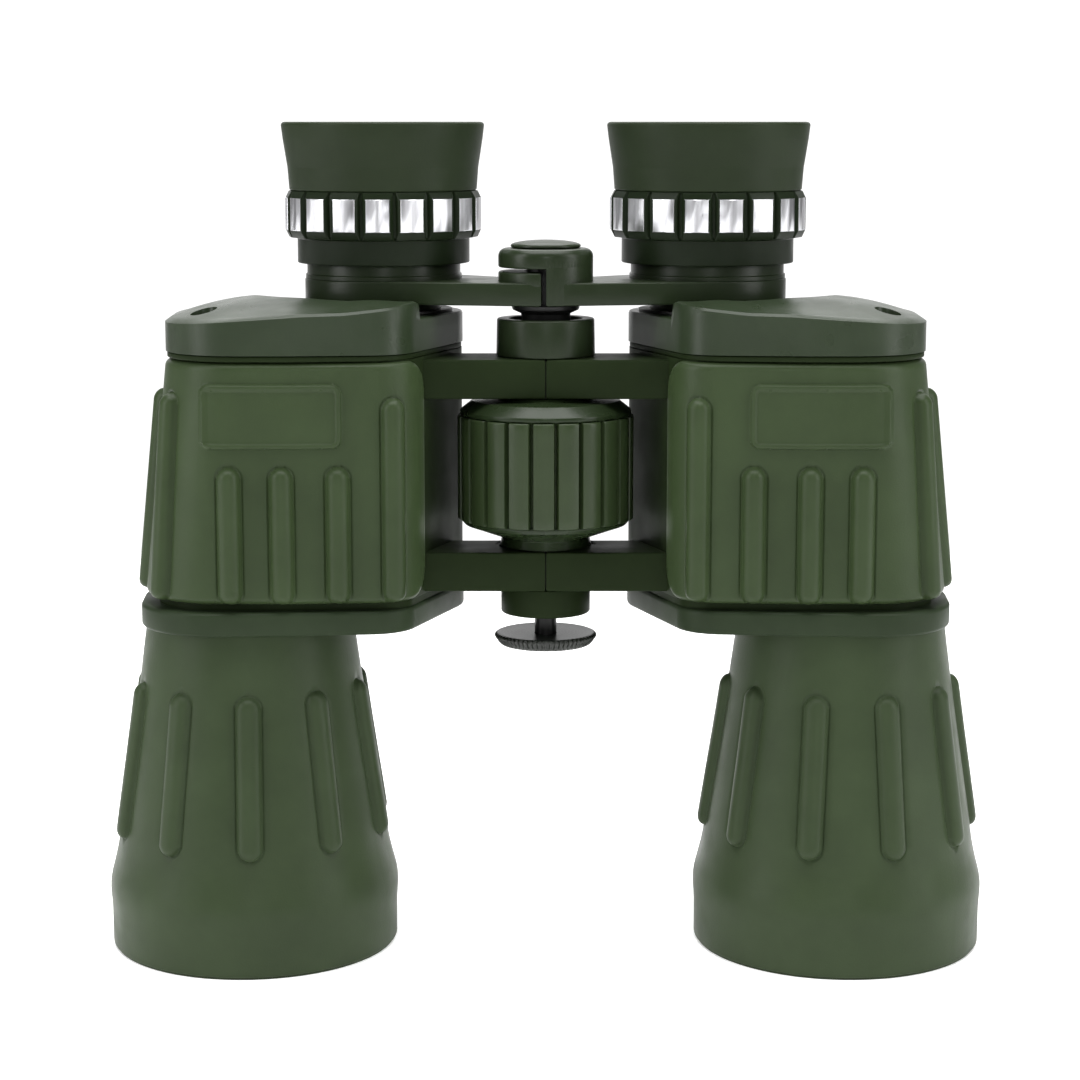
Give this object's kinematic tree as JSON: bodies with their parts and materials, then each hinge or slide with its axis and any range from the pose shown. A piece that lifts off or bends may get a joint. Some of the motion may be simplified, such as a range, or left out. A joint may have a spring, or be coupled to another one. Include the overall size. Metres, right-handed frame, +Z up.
{
  "type": "porro prism binoculars",
  "caption": "Porro prism binoculars with armoured prism housings, flared objective barrels, centre focus wheel, folding hinge bridge and soft eyecups.",
  "frame": {"origin": "on the standing surface, under the middle of the whole object's box at rest, fully opened", "axes": "+X towards the right-hand barrel, +Y towards the side to which the halves fold, +Z up along the hinge axle from the objective rims to the eyecups"},
  "size_m": [0.189, 0.0668, 0.1764],
  "materials": {
    "armour_rubber": "soft-touch matt, olive green",
    "green_painted_metal": "satin enamel, dark green, over die-cast aluminium",
    "green_plastic": "satin moulded, dark green",
    "brushed_aluminium": "brushed upright, bright",
    "black_anodised": "matt black anodised",
    "steel": "turned, light oil",
    "optical_glass": "polished, coated"
  },
  "bodies": {
    "left_half": {"left_housing": "green_painted_metal", "left_housing_armour": "armour_rubber", "left_base_plate": "green_painted_metal", "left_prism_cover": "green_painted_metal", "left_cover_screws": "steel", "left_prism_shelf": "black_anodised", "left_upper_prism": "optical_glass", "left_lower_prism": "optical_glass", "left_prism_clips": "steel", "left_barrel_armour": "armour_rubber", "left_objective_tube": "black_anodised", "left_objective_lens": "optical_glass", "left_objective_retainer": "black_anodised", "left_eyepiece_guide": "black_anodised", "hinge_axle": "steel", "hinge_top_collar": "green_painted_metal", "hinge_end_collar": "green_painted_metal"},
    "right_half": {"right_housing": "green_painted_metal", "right_housing_armour": "armour_rubber", "right_base_plate": "green_painted_metal", "right_prism_cover": "green_painted_metal", "right_cover_screws": "steel", "right_prism_shelf": "black_anodised", "right_upper_prism": "optical_glass", "right_lower_prism": "optical_glass", "right_prism_clips": "steel", "right_barrel_armour": "armour_rubber", "right_objective_tube": "black_anodised", "right_objective_lens": "optical_glass", "right_objective_retainer": "black_anodised", "right_eyepiece_guide": "black_anodised"},
    "focus_wheel": {"focus_wheel_core": "green_painted_metal", "focus_wheel_grip": "armour_rubber"},
    "focus_carrier": {"focus_shaft": "steel", "focus_neck_ring": "black_anodised", "hub_button": "green_painted_metal", "left_arm": "green_painted_metal", "left_eyepiece_tube": "black_anodised"},
    "right_bridge": {"right_arm": "green_painted_metal", "right_eyepiece_tube": "black_anodised"},
    "left_ocular": {"left_ocular_cell": "black_anodised", "left_eye_lens": "optical_glass", "left_field_lens": "optical_glass"},
    "right_ocular": {"right_ocular_cell": "black_anodised", "right_eye_lens": "optical_glass", "right_field_lens": "optical_glass"},
    "left_dioptre": {"left_dioptre_ring": "green_plastic", "left_ring_inlays": "brushed_aluminium", "left_eyecup": "armour_rubber"},
    "right_dioptre": {"right_dioptre_ring": "green_plastic", "right_ring_inlays": "brushed_aluminium", "right_eyecup": "armour_rubber"},
    "cap_screw": {"cap_stem": "black_anodised"},
    "cap_disc": {"cap_head": "green_painted_metal"}
  },
  "joints": [
    {"name": "ipd_fold", "type": "hinge", "parent": "left_half", "child": "right_half", "pos_m": [0, -0.0024, 0.1], "axis": [0, 0, 1], "range_deg": [0, 40]},
    {"name": "focus_turn", "type": "hinge", "parent": "left_half", "child": "focus_wheel", "pos_m": [0, -0.0024, 0.1], "axis": [0, 0, 1], "range_deg": [-60, 250]},
    {"name": "focus_travel", "type": "slide", "parent": "left_half", "child": "focus_carrier", "axis": [0, 0, 1], "range_m": [-0.00144, 0.006]},
    {"name": "bridge_fold", "type": "hinge", "parent": "focus_carrier", "child": "right_bridge", "pos_m": [0, -0.0024, 0.1], "axis": [0, 0, 1], "range_deg": [0, 40]},
    {"name": "left_dioptre_travel", "type": "slide", "parent": "focus_carrier", "child": "left_ocular", "axis": [0, 0, 1], "range_m": [-0.0012, 0.0012]},
    {"name": "left_dioptre_turn", "type": "hinge", "parent": "left_ocular", "child": "left_dioptre", "pos_m": [-0.0349, 0.0116, 0.1], "axis": [0, 0, 1], "range_deg": [-60, 60]},
    {"name": "right_dioptre_travel", "type": "slide", "parent": "right_bridge", "child": "right_ocular", "axis": [0, 0, 1], "range_m": [-0.0012, 0.0012]},
    {"name": "right_dioptre_turn", "type": "hinge", "parent": "right_ocular", "child": "right_dioptre", "pos_m": [0.0349, 0.0116, 0.1], "axis": [0, 0, 1], "range_deg": [-60, 60]},
    {"name": "cap_travel", "type": "slide", "parent": "left_half", "child": "cap_screw", "axis": [0, 0, 1], "range_m": [-0.004, 0.0043]},
    {"name": "cap_turn", "type": "hinge", "parent": "cap_screw", "child": "cap_disc", "pos_m": [0, -0.0024, 0.1], "axis": [0, 0, 1], "range_deg": [-1130, 1217]}
  ],
  "couplings": [
    {"joint": "focus_travel", "follows": "focus_turn", "m_per_rad": 0.001375},
    {"joint": "bridge_fold", "follows": "ipd_fold", "ratio": 1},
    {"joint": "left_dioptre_travel", "follows": "left_dioptre_turn", "m_per_rad": 0.001145},
    {"joint": "right_dioptre_travel", "follows": "right_dioptre_turn", "m_per_rad": 0.001145},
    {"joint": "cap_travel", "follows": "cap_turn", "m_per_rad": 0.000202}
  ]
}
